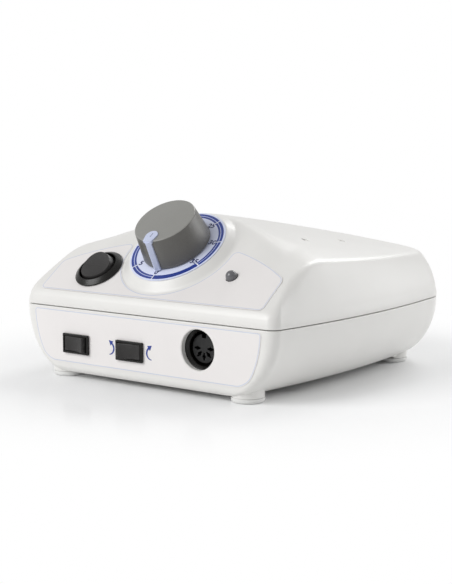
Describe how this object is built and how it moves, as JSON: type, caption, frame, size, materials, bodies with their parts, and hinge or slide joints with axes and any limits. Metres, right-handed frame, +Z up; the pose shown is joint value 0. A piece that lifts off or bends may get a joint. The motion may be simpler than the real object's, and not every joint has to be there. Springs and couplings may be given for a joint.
{
  "type": "micromotor control unit",
  "caption": "Bench micromotor control unit: low moulded two-part case on rubber feet, tilted speed knob on a dial, rocker switches, round motor socket, rear mains inlet and fuse.",
  "frame": {"origin": "on the bench plane under the centre of the unit's bounding box, with the feet at z 0", "axes": "+X along the front from its left end to its right end, +Y from the front to the rear, +Z up"},
  "size_m": [0.1508, 0.1558, 0.08],
  "materials": {
    "white_case": "moulded ABS, satin, warm white",
    "white_rubber": "soft white rubber, matt",
    "film": "printed label film, satin",
    "dial_film": "printed dial film, satin, pale blue with dark blue ring",
    "grey_knob": "moulded grey plastic, satin",
    "pointer_white": "moulded pale plastic, gloss",
    "black_plastic": "moulded black plastic, semi-gloss",
    "dark_plastic": "moulded dark plastic, matt",
    "clear_lens": "clear light dome, gloss",
    "steel": "zinc plated",
    "brass": "plain",
    "board_green": "glass epoxy board, green lacquer",
    "core_steel": "varnished transformer steel",
    "winding_tape": "yellow polyester tape over the coil",
    "aluminium": "extruded, plain",
    "blue_sleeve": "shrink sleeve, gloss",
    "clear_glass": "clear"
  },
  "bodies": {
    "root": {"board_screw_1": "steel", "board_screw_2": "steel", "board_screw_3": "steel", "board_screw_4": "steel", "bridge_rectifier": "black_plastic", "case_screw_1": "steel", "case_screw_2": "steel", "case_screw_3": "steel", "case_screw_4": "steel", "circuit_board": "board_green", "clamp_screw_1": "steel", "clamp_screw_2": "steel", "control_label": "film", "dial_plate": "dial_film", "direction_relay": "dark_plastic", "direction_switch_body": "black_plastic", "foot_1": "white_rubber", "foot_2": "white_rubber", "foot_3": "white_rubber", "foot_4": "white_rubber", "front_label": "film", "fuse_holder": "black_plastic", "fuse_holder_nut": "black_plastic", "heat_sink": "aluminium", "lower_housing": "white_case", "mains_inlet": "black_plastic", "mains_pin_earth": "brass", "mains_pin_line": "brass", "mains_pin_neutral": "brass", "mode_switch_body": "black_plastic", "motor_driver_chip": "black_plastic", "motor_socket_insert": "dark_plastic", "motor_socket_ring": "steel", "motor_socket_shell": "black_plastic", "pedal_jack_body": "dark_plastic", "pedal_jack_nut": "steel", "pot_body": "steel", "pot_nut": "steel", "pot_washer": "steel", "power_light": "clear_lens", "power_light_holder": "black_plastic", "power_switch_body": "black_plastic", "power_transistor": "black_plastic", "smoothing_capacitor_1": "blue_sleeve", "smoothing_capacitor_2": "blue_sleeve", "transformer_clamp": "steel", "transformer_core": "core_steel", "transformer_winding": "winding_tape", "upper_cover": "white_case", "wire_header": "white_case"},
    "knob": {"speed_knob": "grey_knob", "knob_pointer": "pointer_white", "pot_shaft": "steel"},
    "power_rocker": {"power_rocker": "black_plastic"},
    "mode_rocker": {"mode_rocker": "black_plastic"},
    "direction_rocker": {"direction_rocker": "black_plastic"},
    "fuse_cap": {"fuse_cap": "black_plastic", "fuse": "clear_glass"}
  },
  "joints": [
    {"name": "speed_turn", "type": "hinge", "parent": "root", "child": "knob", "pos_m": [0, -0.04959, 0.05978], "axis": [0, 0.5878, -0.809], "range_deg": [0, 300]},
    {"name": "power_tilt", "type": "hinge", "parent": "root", "child": "power_rocker", "pos_m": [-0.0365, -0.05989, 0.04724], "axis": [-1, 0, 0], "range_deg": [0, 20]},
    {"name": "mode_tilt", "type": "hinge", "parent": "root", "child": "mode_rocker", "pos_m": [-0.038, -0.07371, 0.01625], "axis": [0, 0, 1], "range_deg": [0, 16]},
    {"name": "direction_tilt", "type": "hinge", "parent": "root", "child": "direction_rocker", "pos_m": [-0.0066, -0.07371, 0.01625], "axis": [0, 0, -1], "range_deg": [0, 16]},
    {"name": "fuse_cap_turn", "type": "hinge", "parent": "root", "child": "fuse_cap", "pos_m": [0.01169, 0.07329, 0.0175], "axis": [0, 1, 0], "range_deg": [0, 60]}
  ]
}
